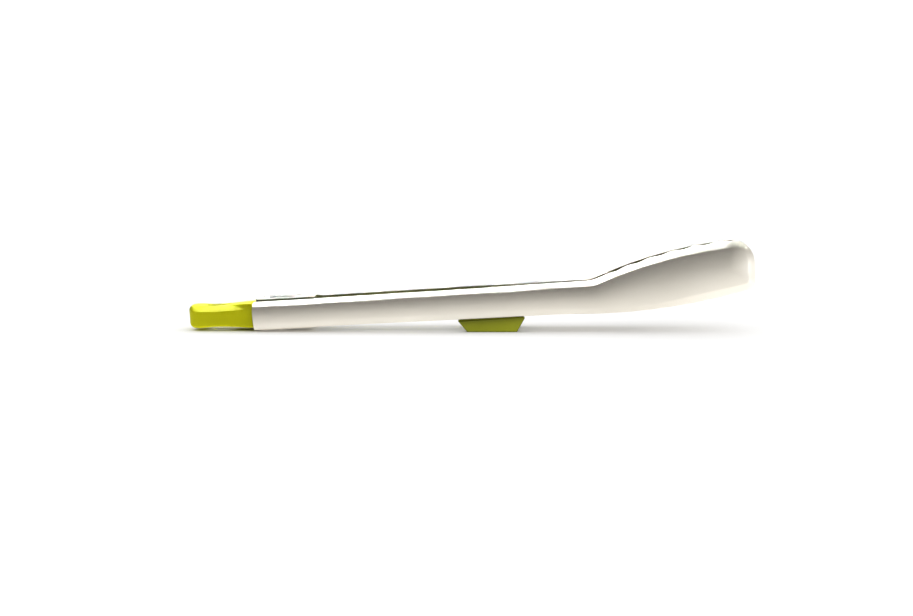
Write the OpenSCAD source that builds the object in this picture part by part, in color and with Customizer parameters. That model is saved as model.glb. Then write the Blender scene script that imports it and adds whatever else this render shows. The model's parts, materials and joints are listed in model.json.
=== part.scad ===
// Spring loaded kitchen tongs, lying on one edge, closed and locked.
// Two channel-section arms with scalloped heads turn on one pivot pin. A torsion spring
// opens them, and a pull loop with a lock pin in wedge-shaped slots holds them shut.
// Everything is drawn in the tongs' own frame: the pivot is the Z axis, +X runs towards
// the heads, and the arms open along Y. resting() then lays the tongs on their feet.

/* [Arms] */
// Length of an arm from its hinge end to the tip of its head
arm_length = 305; // [298:1:310]
// Distance from an arm's hinge end to the pivot
pivot_setback = 9; // [8.5:0.5:9.5]
// Half the height of an arm at the pivot
hinge_half = 8.4; // [8.2:0.1:8.8]
// Half the height of an arm at its neck
neck_half = 9.4; // [9:0.1:10]
// Depth of an arm from the centre plane to its back, along the handle
arm_depth = 16.5; // [16:0.5:18]
// Wall thickness of an arm
wall = 2; // [1.8:0.1:2.2]
// Rise of an arm's back from its edges to its middle, at the hinge
crown = 3.4; // [2.4:0.1:3.4]

/* [Head] */
// Distance from the pivot to the neck, where the head begins
neck_x = 193; // [188:1:196]
// Steepest climb of the head's upper edge, in degrees
climb = 22; // [18:1:24]
// Radius of the head's upper edge
upper_radius = 256; // [240:4:280]
// Radius of the head's lower edge
lower_radius = 393; // [370:5:420]
// Radius of the upper corner of the tip
upper_corner = 13.8; // [10:0.2:15]
// Radius of the lower corner of the tip
lower_corner = 4.8; // [4:0.2:6]
// Spacing of the scallops along the rim
scallop_pitch = 13.8; // [13:0.2:14.4]
// Depth of a scallop
scallop_depth = 3.2; // [2:0.2:3.6]

/* [Mechanism] */
// Radius of the pivot pin
pivot_r = 2.5; // [2.3:0.1:2.6]
// Radius of the lock pin
lock_r = 1.5; // [1.3:0.1:1.6]
// Distance from the pivot to the lock pin when the tongs are locked
locked_x = 22; // [21:0.5:23]
// Travel of the pull loop
loop_travel = 14; // [13:0.5:14]
// Angle that each arm opens, in degrees
open_angle = 12; // [10:1:12]
// Radius of the spring's wire
wire_r = 0.6; // [0.5:0.05:0.6]
// Number of turns of the spring
spring_turns = 3; // [2:1:3]

/* [Pull loop] */
// Length of the pull loop
loop_length = 40; // [37:0.5:42]
// Width of the pull loop across the arms
loop_width = 20; // [18:1:22]
// Height of the pull loop
loop_height = 14.4; // [13.5:0.1:15]
// Length of the hanging hole
hole_length = 15; // [12:1:16]
// Width of the hanging hole
hole_width = 8; // [6:1:9]

/* [Feet] */
// Angle at which the tongs lie on their feet, in degrees
rest_tilt = 3.2; // [3:0.05:3.3]
// Distance from the pivot to the middle of a foot
foot_x = 134.3; // [125:0.5:140]
// Length of a foot where it meets the arm
foot_top = 40.5; // [34:0.5:44]
// Length of a foot on the ground
foot_base = 30; // [26:0.5:34]
// Depth of a foot across the arm's edge
foot_depth = 5; // [4.4:0.1:5.2]

/* [Hidden] */

white = "ivory";
green = "yellowgreen";
steel = "silver";
nylon = "dimgray";

$fn = 48;
// Length that a cut runs past the face it opens.
past = 1;
// Gap between flat faces that slide on each other.
slide_gap = 0.1;
// Radial clearance of the pivot pin in its bores.
pivot_clearance = 0.05;

// ---- Outline of an arm, seen from its back: X along the arm, Z across it ----
hinge_x = -pivot_setback;
tip_x = arm_length - pivot_setback;
taper_x = 40;
fillet_r = 20;
fillet_end = neck_x + fillet_r * sin(climb);
fillet_top = neck_half + fillet_r * (1 - cos(climb));
belly_start = neck_x - 23;
belly_x = neck_x + 16;
belly_drop = 1;

function mix(a, b, t) = a + (b - a) * t;
function ease(t) = t * t * (3 - 2 * t);
function along(a, b, x) = min(1, max(0, (x - a) / (b - a)));
function handle_half(x) = mix(hinge_half, neck_half, along(taper_x, neck_x, x));
function upper_slope(x) = asin(sin(climb) - (x - fillet_end) / upper_radius);
function lower_slope(x) = asin((x - belly_x) / lower_radius);

function upper_edge(x) =
    x < neck_x ? handle_half(x) :
    x < fillet_end ? neck_half + fillet_r - sqrt(pow(fillet_r, 2) - pow(x - neck_x, 2)) :
    fillet_top + upper_radius * (cos(upper_slope(x)) - cos(climb));

function lower_edge(x) =
    x < belly_x ? -handle_half(x) - belly_drop * ease(along(belly_start, belly_x, x)) :
    -neck_half - belly_drop + lower_radius * (1 - cos(lower_slope(x)));

// Depths of the back and of the rim from the centre plane, and where along the arm they change.
neck_depth = 15.6;
belly_depth = 16.2;
tip_depth = 11;
grip_gap = 7.8;
neck_gap = 2.8;
tip_gap = 0.25;
slimming_x = 130;
deepest_x = 240;
gap_x = [118, 182];

function back_depth(x) =
    x < neck_x ? mix(arm_depth, neck_depth, ease(along(slimming_x, neck_x, x))) :
    x < deepest_x ? mix(neck_depth, belly_depth, ease(along(neck_x, deepest_x, x))) :
    mix(belly_depth, tip_depth, pow(along(deepest_x, tip_x, x), 2));

scallops = 6;
scallops_from = 11.4;
first_peak = neck_x + scallops_from;
last_peak = first_peak + scallops * scallop_pitch;

function rim_base(x) =
    x < neck_x ? mix(grip_gap, neck_gap, ease(along(gap_x[0], gap_x[1], x))) :
    mix(neck_gap, tip_gap, ease(along(neck_x, last_peak, x)));
function scallop(x) =
    x < first_peak || x > last_peak ? 0 :
    scallop_depth * (1 - cos(360 * (x - first_peak) / scallop_pitch)) / 2;
function rim_depth(x) = rim_base(x) + scallop(x);
// The taller the arm, the more its back is crowned.
crown_growth = 0.75;
function crown_at(x) = crown * pow((upper_edge(x) - lower_edge(x)) / (2 * hinge_half), crown_growth);

// The rounded edge between the side walls and the back, which grows into bevels round the head.
edge_r = 2.5;
upper_bevel = 3.4;
lower_bevel = 6;
tip_bevel = 5.4;
bevel_height = 4.5;
bevel_x = [neck_x + 5, tip_x - 20];
function beveling(x) = ease(along(bevel_x[0], bevel_x[1], x));

// A station is a place along the rim: few on the straight handle, six to a scallop on the head.
fine_step = scallop_pitch / 6;
fine_from = first_peak - 4 * fine_step;
gap_step = 8;
spine_end = tip_x - 18;
// The outer arm steps in to the other arm's height along this stretch.
joggle_x = [24, 33];
upper_turn = upper_slope(tip_x - upper_corner);
lower_turn = lower_slope(tip_x - lower_corner);
upper_stop = tip_x - upper_corner * (1 - sin(upper_turn));
lower_stop = tip_x - lower_corner * (1 - sin(lower_turn));

handle_stations = [hinge_x, joggle_x[0], joggle_x[1], taper_x];
gap_stations = [for (x = [gap_x[0] : gap_step : gap_x[1]]) x];
head_stations = [for (x = [fine_from : fine_step : lower_stop - fine_step / 2]) x];
station_x = concat(handle_stations, gap_stations, head_stations, [lower_stop]);
last_station = len(station_x) - 1;

// The upper edge and the spine run out before the lower edge does, so their stations close up.
function closed_up(x, stop) =
    x < deepest_x ? x : mix(deepest_x, stop, (x - deepest_x) / (lower_stop - deepest_x));
function corner(stop, z, r, turn, side, a) =
    [tip_x - r + r * cos(a), z - side * r * cos(turn) + side * r * sin(a)];

lower_points = [for (x = station_x) [x, lower_edge(x)]];
upper_points = [for (x = station_x) let (u = closed_up(x, upper_stop)) [u, upper_edge(u)]];
low_steps = 4;
high_steps = 8;
tip_low = [for (k = [1 : low_steps])
    corner(lower_stop, lower_edge(lower_stop), lower_corner, lower_turn, -1,
        mix(90 - lower_turn, 0, k / low_steps))];
tip_high = [for (k = [0 : high_steps - 1])
    corner(upper_stop, upper_edge(upper_stop), upper_corner, upper_turn, 1,
        mix(0, 90 - upper_turn, k / high_steps))];
rim_points = concat(lower_points, tip_low, tip_high,
    [for (k = [last_station : -1 : 0]) upper_points[k]]);
rim_count = len(rim_points);

function spine(k) =
    let (x = closed_up(station_x[k], spine_end))
    [x, (upper_edge(x) + lower_edge(x)) / 2];
// Spine point that rim station k leans towards.
function spine_index(k) = min(k, last_station, rim_count - 1 - k);
function side_bevel(k) = k <= last_station ? lower_bevel :
    k >= rim_count - 1 - last_station ? upper_bevel : tip_bevel;

// The arm on the hinge's outside steps out past the other arm's ears.
function joggle_at(x, joggle) = joggle * (1 - ease(along(joggle_x[0], joggle_x[1], x)));
function shifted(p, joggle) = [p[0], p[1] + sign(p[1]) * joggle_at(p[0], joggle)];
function inset_point(k, inset, joggle) =
    let (p = shifted(rim_points[k], joggle), s = spine(spine_index(k)))
    let (t = inset / norm(s - p))
    [for (i = [0, 1]) mix(p[i], s[i], t)];
function inset_share(k, inset, joggle) =
    inset / norm(spine(spine_index(k)) - shifted(rim_points[k], joggle));
function back_at(k, share) =
    let (x = mix(rim_points[k][0], spine(spine_index(k))[0], share))
    back_depth(x) - crown_at(x) * pow(1 - share, 2);

// One profile from the rim to near the spine: [inset, depth] for the outer or inner skin.
edge_angles = [0, 30, 60, 90];
// Share of the wall by which the rounded edge is smaller on the inner skin.
inner_shrink = 0.6;
min_lip = 0.5;
// Share of the way from the rim to the spine at which the back has one more row of points.
middle_share = 0.55;
function edge_width(k) = mix(edge_r, side_bevel(k), beveling(rim_points[k][0]));
function edge_height(k) = mix(edge_r, bevel_height, beveling(rim_points[k][0]));
function skin_points(k, skin, joggle) =
    let (w = max(min_lip, edge_width(k) - skin * inner_shrink), h = edge_height(k) - skin * inner_shrink)
    let (turn = back_at(k, inset_share(k, skin + w, joggle)) - skin)
    let (rim = rim_depth(rim_points[k][0]))
    concat(
        [[skin, rim]],
        [for (a = edge_angles) [skin + w * (1 - cos(a)), max(rim + min_lip, turn - h * (1 - sin(a)))]]
    );
function skin_row(k, skin, joggle) = concat(
    [for (q = skin_points(k, skin, joggle))
        let (p = inset_point(k, q[0], joggle)) [p[0], -q[1], p[1]]],
    [let (p = mix(shifted(rim_points[k], joggle), spine(spine_index(k)), middle_share))
        [p[0], skin - back_at(k, middle_share), p[1]]]
);

row_size = len(edge_angles) + 2;
skin_size = rim_count * row_size;
spine_size = last_station + 1;
function vertex(layer, k, j) = j < row_size ?
    layer * (skin_size + spine_size) + k * row_size + j :
    layer * (skin_size + spine_size) + skin_size + spine_index(k);
function quad(a, b, c, d) = concat(
    a != b && b != c && a != c ? [[a, b, c]] : [],
    a != c && c != d && a != d ? [[a, c, d]] : []
);

module arm_shell(joggle) {
    points = [for (skin = [0, wall]) each concat(
        [for (k = [0 : rim_count - 1]) each skin_row(k, skin, joggle)],
        [for (k = [0 : last_station]) let (s = spine(k)) [s[0], skin - back_depth(s[0]), s[1]]]
    )];
    outer = [for (k = [0 : rim_count - 2], j = [0 : row_size - 1])
        each quad(vertex(0, k, j), vertex(0, k, j + 1), vertex(0, k + 1, j + 1), vertex(0, k + 1, j))];
    inner = [for (k = [0 : rim_count - 2], j = [0 : row_size - 1])
        each quad(vertex(1, k, j), vertex(1, k + 1, j), vertex(1, k + 1, j + 1), vertex(1, k, j + 1))];
    rim = [for (k = [0 : rim_count - 2])
        each quad(vertex(0, k, 0), vertex(0, k + 1, 0), vertex(1, k + 1, 0), vertex(1, k, 0))];
    ends = [for (k = [0, rim_count - 1], j = [0 : row_size - 1])
        each k == 0 ?
            quad(vertex(0, k, j), vertex(1, k, j), vertex(1, k, j + 1), vertex(0, k, j + 1)) :
            quad(vertex(0, k, j), vertex(0, k, j + 1), vertex(1, k, j + 1), vertex(1, k, j))];
    polyhedron(points = points, faces = concat(outer, inner, rim, ends), convexity = 6);
}

// ---- Hinge ----
// Ear plates reach this far past the centre plane and this far along the arm. They are round
// at the hinge end, so that they clear the other arm's walls when the arms open.
ear_reach = 6.5;
ear_end = 27.5;
ear_root = -12;
ear_corner = 3;
// Ears are a hair thinner than the wall that they grow from.
ear_skin = 0.05;
// The front arm's ears are set in from its edges, and the back arm steps out past them.
ear_recess = 0.85;
ear_joggle = wall + slide_gap - ear_recess;
front_ear = hinge_half - ear_recess;
back_ear = hinge_half + ear_joggle - ear_skin;
slot_clearance = 0.3;
slot_steps = 4;

// Where the lock pin stands in an arm's own frame when that arm is open by angle a.
function lock_place(a) =
    let (r = locked_x - loop_travel * a / open_angle) [r * cos(a), r * sin(a)];

module ear_outline() {
    hull() {
        translate([hinge_x + ear_reach, 0]) circle(r = ear_reach);
        translate([ear_end - ear_corner, ear_reach - ear_corner]) circle(r = ear_corner);
        for (x = [hinge_x + ear_corner, ear_end - ear_corner])
            translate([x, ear_root + ear_corner]) circle(r = ear_corner);
    }
}

module lock_slot() {
    hull() {
        translate(lock_place(0)) circle(r = lock_r + slot_clearance);
        translate([locked_x - loop_travel, 0]) circle(r = lock_r + slot_clearance);
        for (k = [1 : slot_steps])
            translate(lock_place(open_angle * k / slot_steps)) circle(r = lock_r + slot_clearance);
    }
}

module ears(outside) {
    for (side = [0, 1])
        mirror([0, 0, side])
            translate([0, 0, outside - wall + 2 * ear_skin])
                linear_extrude(wall - 2 * ear_skin) ear_outline();
}

module hinge_cuts() {
    reach = back_ear + past;
    translate([0, 0, -reach]) cylinder(r = pivot_r + pivot_clearance, h = 2 * reach);
    translate([0, 0, -reach]) linear_extrude(2 * reach) lock_slot();
}

// ---- Handle fittings: cover strip, weight, foot and its clip ----
cover_start = 40;
cover_end = 112;
cover_y = 8.6;
cover_t = 1.5;
cover_gap = 0.15;
boss_r = 3;
screw_r = 1.1;
screw_head_r = 2.2;
screw_head_h = 1.2;
screw_length = 4;
screw_inset = 6;
screw_places = [cover_start + screw_inset, cover_end - screw_inset];
boss_y = cover_y + cover_t;

weight_gap = 2;
weight_start = screw_places[0] + boss_r + weight_gap;
weight_end = screw_places[1] - boss_r - weight_gap;
weight_half = 5;
weight_t = 2.7;

peg_r = 1.2;
peg_head_r = 1.6;
peg_head_h = 0.8;
peg_y = 10;
peg_spread = 10;
peg_places = [foot_x - peg_spread, foot_x + peg_spread];
foot_y = grip_gap + 0.2;
foot_gap = 0.05;
clip_t = 1.5;
clip_y = [8.2, 11.8];
clip_half = 16;
clip_z = -handle_half(foot_x - clip_half) + wall + slide_gap;
pivot_height = (hinge_half + ear_joggle) * cos(rest_tilt) + pivot_setback * sin(rest_tilt);

// Height of the ground under the tongs, in their own frame.
function ground(x) = -(pivot_height + x * sin(rest_tilt)) / cos(rest_tilt);

// Rods along Y at the screws' places, from depth y outwards.
module screw_rods(y, length, r) {
    for (x = screw_places)
        translate([x, -y, 0]) rotate([90, 0, 0]) cylinder(r = r, h = length);
}

module arm(joggle, ear) {
    difference() {
        union() {
            arm_shell(joggle);
            ears(ear);
            screw_rods(boss_y, arm_depth - wall / 2 - boss_y, boss_r);
        }
        hinge_cuts();
        screw_rods(boss_y - past, screw_length + past - screw_head_h, screw_r);
        for (x = peg_places)
            translate([x, -peg_y, lower_edge(x) - past]) cylinder(r = peg_r, h = wall + 2 * past);
        children();
    }
}

module cover() {
    edge = [for (x = [cover_start, cover_end]) [x, handle_half(x) - wall - cover_gap]];
    outline = concat(edge, [for (k = [len(edge) - 1 : -1 : 0]) [edge[k][0], -edge[k][1]]]);
    difference() {
        translate([0, -cover_y, 0]) rotate([90, 0, 0]) linear_extrude(cover_t) polygon(outline);
        screw_rods(cover_y - past, cover_t + 2 * past, screw_r);
        screw_rods(cover_y - past, screw_head_h + past, screw_head_r);
    }
}

module cover_screws() {
    screw_rods(cover_y, screw_head_h, screw_head_r);
    screw_rods(cover_y, screw_length, screw_r);
}

module weight() {
    corner_r = 1.5;
    translate([0, -boss_y - slide_gap, 0])
        rotate([90, 0, 0])
            linear_extrude(weight_t)
                hull() for (x = [weight_start + corner_r, weight_end - corner_r],
                            z = [corner_r - weight_half, weight_half - corner_r])
                    translate([x, z]) circle(r = corner_r);
}

module foot() {
    top = foot_top / 2;
    base = foot_base / 2;
    side = [
        [foot_x - top, lower_edge(foot_x - top) - foot_gap],
        [foot_x - base, ground(foot_x - base)],
        [foot_x + base, ground(foot_x + base)],
        [foot_x + top, lower_edge(foot_x + top) - foot_gap]
    ];
    translate([0, -foot_y, 0]) rotate([90, 0, 0]) linear_extrude(foot_depth) polygon(side);
    for (x = peg_places) {
        translate([x, -peg_y, lower_edge(x) - wall])
            cylinder(r = peg_r, h = clip_z + clip_t + peg_head_h - lower_edge(x) + wall);
        translate([x, -peg_y, clip_z + clip_t])
            cylinder(r1 = peg_head_r, r2 = peg_r, h = peg_head_h);
    }
}

module foot_clip() {
    difference() {
        translate([foot_x - clip_half, -clip_y[1], clip_z])
            cube([2 * clip_half, clip_y[1] - clip_y[0], clip_t]);
        for (x = peg_places)
            translate([x, -peg_y, clip_z - past]) cylinder(r = peg_r, h = clip_t + 2 * past);
    }
}

// ---- Spring and the stack on the pivot ----
spool_half = 3.2;
spool_flange = 0.8;
spool_tube = 0.6;
coil_r = 4.1;
tongue_t = 1.2;
tongue_z = spool_half + slide_gap;
washer_z = tongue_z + tongue_t + slide_gap;
washer_t = front_ear - wall - washer_z - slide_gap / 2;
bore_r = pivot_r + pivot_clearance;
leg_angle = 12;
leg_length = 32;
seat_x = [24, 34];
seat_half = 4.5;
// The seat lies across the crowned back, so there is a space under its middle.
seat_lift = 1.2;
seat_back = arm_depth - wall - seat_lift;
// The seat's face lies just outside the end of the spring's leg.
seat_face = coil_r * cos(leg_angle) + leg_length * sin(leg_angle) + wire_r + slide_gap;
flange_r = coil_r + 1.3;
washer_r = coil_r + 1.4;

dome_r = 4.2;
dome_h = 1.1;
retainer_t = 0.85;
recess_r = dome_r + 0.2;
recess_h = 1;

// The coil's turns lie just clear of each other.
coil_pitch = 2.08 * wire_r;
coil_sweep = 360 * (spring_turns - 1) + 180 - 2 * leg_angle;
coil_half = coil_pitch * coil_sweep / 720;
coil_rings = 14 * spring_turns;
wire_sides = 8;

// Centre line of the spring: a leg, the coil and the other leg.
function coil_point(t) =
    let (a = -90 - leg_angle - coil_sweep * t)
    [coil_r * cos(a), coil_r * sin(a), mix(-coil_half, coil_half, t)];
function leg_end(p, side) =
    p + leg_length * [cos(leg_angle), side * sin(leg_angle), 0];
spring_path = concat(
    [leg_end(coil_point(0), -1)],
    [for (k = [0 : coil_rings]) coil_point(k / coil_rings)],
    [leg_end(coil_point(1), 1)]
);

function unit(v) = v / norm(v);
function heading(path, k) =
    unit(path[min(k + 1, len(path) - 1)] - path[max(k - 1, 0)]);

module wire(path, r) {
    rings = [for (k = [0 : len(path) - 1])
        let (side = unit(cross(heading(path, k), [0, 0, 1])))
        for (j = [0 : wire_sides - 1])
            let (a = 360 * j / wire_sides) path[k] + r * (side * cos(a) + [0, 0, 1] * sin(a))];
    last = (len(path) - 1) * wire_sides;
    skin = [for (k = [0 : len(path) - 2], j = [0 : wire_sides - 1])
        let (a = k * wire_sides, b = (j + 1) % wire_sides)
        each quad(a + j, a + wire_sides + j, a + wire_sides + b, a + b)];
    caps = [for (j = [1 : wire_sides - 2]) each [[0, j, j + 1], [last, last + j + 1, last + j]]];
    polyhedron(points = rings, faces = concat(skin, caps), convexity = 8);
}

module ring(inner, outer, height) {
    difference() {
        cylinder(r = outer, h = height);
        translate([0, 0, -past]) cylinder(r = inner, h = height + 2 * past);
    }
}

module spring_seat() {
    translate([seat_x[0], -seat_back, -seat_half])
        cube([seat_x[1] - seat_x[0], seat_back - seat_face, 2 * seat_half]);
}

// ---- Lock and pull loop ----
tongue_half = 6;
tongue_nose = 4;
tongue_root = hinge_x - slot_clearance;
core_length = 10;
loop_x = [tongue_root - loop_length, tongue_root];
hole_from_end = 18;
hole_x = loop_x[0] + hole_from_end;
loop_lift = 0.9;
loop_waist = 0.6;
shoulder_half = 7.8;
shoulder_length = 12;
loop_corner = 3.6;
loop_end_r = 8;
loop_steps = 12;
corner_steps = 6;
// The pins end just inside the outer ears.
pin_inset = 0.15;
pin_end = back_ear - pin_inset;

// Rise of the loop's middle line, which lies a little flatter than the arms.
function loop_middle(x) = loop_lift * (loop_x[1] - x) / loop_length;
function loop_half(x) =
    mix(loop_height / 2, shoulder_half, ease(along(loop_x[1] - shoulder_length, loop_x[1], x)))
    - loop_waist * (1 - cos(360 * along(loop_x[0], loop_x[1] - shoulder_length / 2, x))) / 2;
function loop_side(x, side) = [x, loop_middle(x) + side * loop_half(x)];
function round_corner(start, r, from, to) =
    [for (k = [0 : corner_steps]) let (a = mix(from, to, k / corner_steps)) start + r * [cos(a), sin(a)]];

module tongue_plate() {
    linear_extrude(tongue_t) difference() {
        union() {
            translate([tongue_root - core_length, -tongue_half])
                square([locked_x - tongue_root + core_length, 2 * tongue_half]);
            translate([locked_x, 0]) circle(r = tongue_nose);
        }
        hull() for (x = [0, loop_travel]) translate([x, 0]) circle(r = pivot_r + slide_gap);
        translate([locked_x, 0]) circle(r = lock_r);
    }
}

// The loop's outline from the side: two waisted edges and a rounded left end.
module loop_profile() {
    near = loop_x[0] + loop_corner;
    step = (loop_x[1] - near) / loop_steps;
    lower = loop_side(near, -1) + [0, loop_corner];
    upper = loop_side(near, 1) - [0, loop_corner];
    polygon(concat(
        round_corner(upper, loop_corner, 90, 180),
        round_corner(lower, loop_corner, 180, 270),
        [for (k = [1 : loop_steps]) loop_side(near + k * step, -1)],
        [for (k = [loop_steps : -1 : 1]) loop_side(near + k * step, 1)]
    ));
}

// The loop's outline from above: straight sides and a well rounded left end.
module loop_plan() {
    half = loop_width / 2;
    near = loop_x[0] + loop_end_r;
    corner = half - loop_end_r;
    polygon(concat(
        round_corner([near, corner], loop_end_r, 90, 180),
        round_corner([near, -corner], loop_end_r, 180, 270),
        [[loop_x[1], -half], [loop_x[1], half]]
    ));
}

module loop_body() {
    intersection() {
        translate([0, loop_width, 0]) rotate([90, 0, 0]) linear_extrude(2 * loop_width) loop_profile();
        translate([0, 0, -loop_height]) linear_extrude(2 * loop_height) loop_plan();
    }
}

// ---- Laying the tongs on their feet ----
// Shift along X that puts the middle of the tongs over the origin: the tip's lowest point
// and the loop's highest corner are the two ends.
tip_low_z = lower_edge(lower_stop) + lower_corner * cos(lower_turn);
loop_top_z = loop_side(loop_x[0] + loop_corner, 1)[1] - loop_corner;
centre_x = (tip_low_z + loop_top_z) / 2 * sin(rest_tilt) - (tip_x + loop_x[0]) / 2 * cos(rest_tilt);

module resting() {
    translate([centre_x, 0, pivot_height]) rotate([0, -rest_tilt, 0]) children();
}

module other_side() {
    mirror([0, 1, 0]) children();
}

// ---- Sub-parts ----
module front_arm() {
    color(white) resting() arm(0, front_ear);
}

module back_arm() {
    color(white) resting() other_side() arm(ear_joggle, back_ear)
        translate([0, 0, -back_ear - past]) cylinder(r = recess_r, h = recess_h + past);
}

module front_foot() { color(green) resting() foot(); }
module back_foot() { color(green) resting() other_side() foot(); }
module front_foot_clip() { color(nylon) resting() foot_clip(); }
module back_foot_clip() { color(nylon) resting() other_side() foot_clip(); }
module front_cover() { color(green) resting() cover(); }
module back_cover() { color(green) resting() other_side() cover(); }
module front_weight() { color(steel) resting() weight(); }
module back_weight() { color(steel) resting() other_side() weight(); }
module front_cover_screws() { color(steel) resting() cover_screws(); }
module back_cover_screws() { color(steel) resting() other_side() cover_screws(); }
module front_spring_seat() { color(nylon) resting() spring_seat(); }
module back_spring_seat() { color(nylon) resting() other_side() spring_seat(); }

module pivot_pin() {
    ball_r = (pow(dome_r, 2) + pow(dome_h, 2)) / (2 * dome_h);
    color(steel) resting() {
        translate([0, 0, -pin_end]) cylinder(r = pivot_r, h = pin_end + back_ear + dome_h / 2);
        intersection() {
            translate([0, 0, back_ear + ear_skin + dome_h - ball_r]) sphere(r = ball_r);
            translate([0, 0, back_ear + ear_skin]) cylinder(r = dome_r, h = dome_h);
        }
    }
}

module pivot_retainer() {
    color(steel) resting() translate([0, 0, -pin_end]) ring(pivot_r, dome_r, retainer_t);
}

module pivot_washers() {
    color(nylon) resting() for (z = [washer_z, -washer_z - washer_t])
        translate([0, 0, z]) ring(bore_r, washer_r, washer_t);
}

module spring_spool() {
    color(nylon) resting() {
        translate([0, 0, -spool_half]) ring(bore_r, bore_r + spool_tube, 2 * spool_half);
        for (z = [-spool_half, spool_half - spool_flange])
            translate([0, 0, z]) ring(bore_r, flange_r, spool_flange);
    }
}

module torsion_spring() {
    color(steel) resting() wire(spring_path, wire_r);
}

module lock_tongue() {
    color(steel) resting() {
        for (z = [tongue_z, -tongue_z - tongue_t]) translate([0, 0, z]) tongue_plate();
        translate([tongue_root - core_length, -tongue_half, -tongue_z])
            cube([core_length, 2 * tongue_half, 2 * tongue_z]);
    }
}

module lock_pin() {
    color(steel) resting() translate([locked_x, 0, -pin_end]) cylinder(r = lock_r, h = 2 * pin_end);
}

module pull_loop() {
    core_half = tongue_z + tongue_t;
    straight = (hole_length - hole_width) / 2;
    color(green) resting() difference() {
        loop_body();
        translate([tongue_root - core_length, -tongue_half, -core_half])
            cube([core_length + past, 2 * tongue_half, 2 * core_half]);
        for (x = [-straight, straight]) translate([hole_x + x, 0, -loop_height])
            cylinder(r = hole_width / 2, h = 2 * loop_height);
        translate([hole_x - straight, -hole_width / 2, -loop_height])
            cube([2 * straight, hole_width, 2 * loop_height]);
    }
}

front_arm();
back_arm();
front_foot();
back_foot();
front_foot_clip();
back_foot_clip();
front_cover();
back_cover();
front_weight();
back_weight();
front_cover_screws();
back_cover_screws();
front_spring_seat();
back_spring_seat();
pivot_pin();
pivot_retainer();
pivot_washers();
spring_spool();
torsion_spring();
lock_tongue();
lock_pin();
pull_loop();
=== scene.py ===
import json
import math

import bmesh
import bpy
import numpy as np
from mathutils import Matrix, Vector

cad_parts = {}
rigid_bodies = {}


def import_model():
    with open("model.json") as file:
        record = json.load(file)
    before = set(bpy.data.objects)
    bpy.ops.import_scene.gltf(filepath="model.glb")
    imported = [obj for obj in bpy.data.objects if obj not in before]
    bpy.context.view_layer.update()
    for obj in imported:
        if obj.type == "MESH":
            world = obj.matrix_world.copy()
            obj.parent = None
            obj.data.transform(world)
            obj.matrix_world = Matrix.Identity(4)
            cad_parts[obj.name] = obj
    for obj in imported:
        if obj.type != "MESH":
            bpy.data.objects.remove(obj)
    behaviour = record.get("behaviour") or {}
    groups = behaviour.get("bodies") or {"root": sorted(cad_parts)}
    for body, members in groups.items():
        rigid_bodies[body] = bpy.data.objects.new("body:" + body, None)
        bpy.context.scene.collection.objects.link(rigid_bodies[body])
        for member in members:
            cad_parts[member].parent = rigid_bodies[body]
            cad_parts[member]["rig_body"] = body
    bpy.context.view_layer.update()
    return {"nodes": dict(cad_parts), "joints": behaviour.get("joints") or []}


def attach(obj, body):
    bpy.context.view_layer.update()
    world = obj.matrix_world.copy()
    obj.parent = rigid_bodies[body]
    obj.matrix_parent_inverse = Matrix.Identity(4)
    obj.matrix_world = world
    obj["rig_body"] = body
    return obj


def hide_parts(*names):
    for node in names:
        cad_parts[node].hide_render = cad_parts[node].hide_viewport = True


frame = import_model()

MM = 0.001
JOINTS = {joint["name"]: joint for joint in frame["joints"]}
PIVOT = Vector(JOINTS["back_arm_swing"]["pos_m"])
UP = Vector(JOINTS["back_arm_swing"]["axis"]).normalized()
AHEAD = -Vector(JOINTS["lock_slide"]["axis"]).normalized()
ACROSS = Vector((0, 1, 0))
LAY = Matrix.Translation(PIVOT) @ Matrix((AHEAD, ACROSS, UP)).transposed().to_4x4() @ Matrix.Scale(MM, 4)

# ---- Driving dimensions of an arm, the same as the part's ----
ARM_LENGTH = 305
PIVOT_SETBACK = 9
HINGE_HALF = 8.4
NECK_HALF = 9.4
ARM_DEPTH = 16.5
NECK_DEPTH = 15.6
BELLY_DEPTH = 16.2
TIP_DEPTH = 11
WALL = 2
CROWN = 3.4
NECK_X = 193
CLIMB = math.radians(22)
FILLET_R = 20
UPPER_RADIUS = 256
LOWER_RADIUS = 393
BELLY_DROP = 1
CROWN_GROWTH = 0.75
UPPER_CORNER = 13.8
LOWER_CORNER = 4.8
SCALLOPS = 6
SCALLOP_PITCH = 13.8
SCALLOP_DEPTH = 3.2
GRIP_GAP = 7.8
NECK_GAP = 2.8
TIP_GAP = 0.25

HINGE_X = -PIVOT_SETBACK
TAPER_X = 40
SLIMMING_X = 130
GAP_X = (118, 182)
TIP_X = ARM_LENGTH - PIVOT_SETBACK
FILLET_END = NECK_X + FILLET_R * math.sin(CLIMB)
FILLET_TOP = NECK_HALF + FILLET_R * (1 - math.cos(CLIMB))
BELLY_START = NECK_X - 23
BELLY_X = NECK_X + 16
HEAD_X = 240
SPINE_END = TIP_X - 18
FIRST_PEAK = NECK_X + 11.4
LAST_PEAK = FIRST_PEAK + SCALLOPS * SCALLOP_PITCH

# Edges of an arm: the rounding of its lips, then the widths and depths of its bevels
LIP = 0.25
EAR_LIP = 0.6
END_CHAMFER = 0.25
HANDLE_TOP_BEVEL = 2.6
HANDLE_BOTTOM_BEVEL = 2.0
HEAD_TOP_BEVEL = 4.0
HEAD_BOTTOM_BEVEL = 6.0
TIP_BEVEL = 5.4
TOP_BEVEL_DEPTH = 7.0
HANDLE_BOTTOM_DEPTH = 2.0
HEAD_BEVEL_DEPTH = 6.5
BEVEL_X = (NECK_X + 5, TIP_X - 20)
# A bevel of softness 0 is flat, and one of softness 1 is round
TOP_SOFTNESS = 0.3
HEAD_SOFTNESS = 0.2
# Inside, the bevel is wider by this share of the wall
INNER_SPREAD = 0.9
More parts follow.
